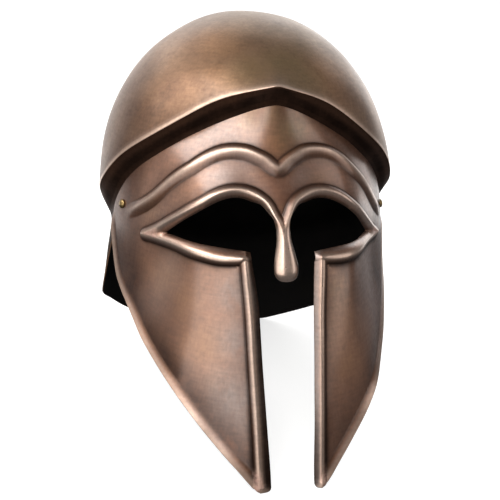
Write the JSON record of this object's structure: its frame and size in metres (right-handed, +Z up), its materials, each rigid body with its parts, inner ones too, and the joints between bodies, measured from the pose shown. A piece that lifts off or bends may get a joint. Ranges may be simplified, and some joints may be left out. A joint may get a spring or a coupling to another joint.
{
  "type": "open-faced helmet",
  "caption": "Bronze helmet with a rounded skull, pointed brow lip, flared neck guard and a riveted face plate with arched eye openings, a drop-shaped nasal and long pointed cheek guards.",
  "frame": {"origin": "on the floor, under the middle of the helmet's bounding box", "axes": "+Z up with the helmet leant back at rest on its cheek tips and the rear of its neck guard, -Y the way the face looks, +X the wearer's left"},
  "size_m": [0.2182, 0.3016, 0.2685],
  "materials": {
    "skull_bronze": "antique brown bronze, hand rubbed, satin",
    "face_bronze": "antique brown bronze, rubbed bright on the beads, satin",
    "rivet_brass": "dull brass"
  },
  "bodies": {
    "root": {"skull": "skull_bronze", "face_plate": "face_bronze", "rivet_right": "rivet_brass", "rivet_left": "rivet_brass"}
  },
  "joints": []
}
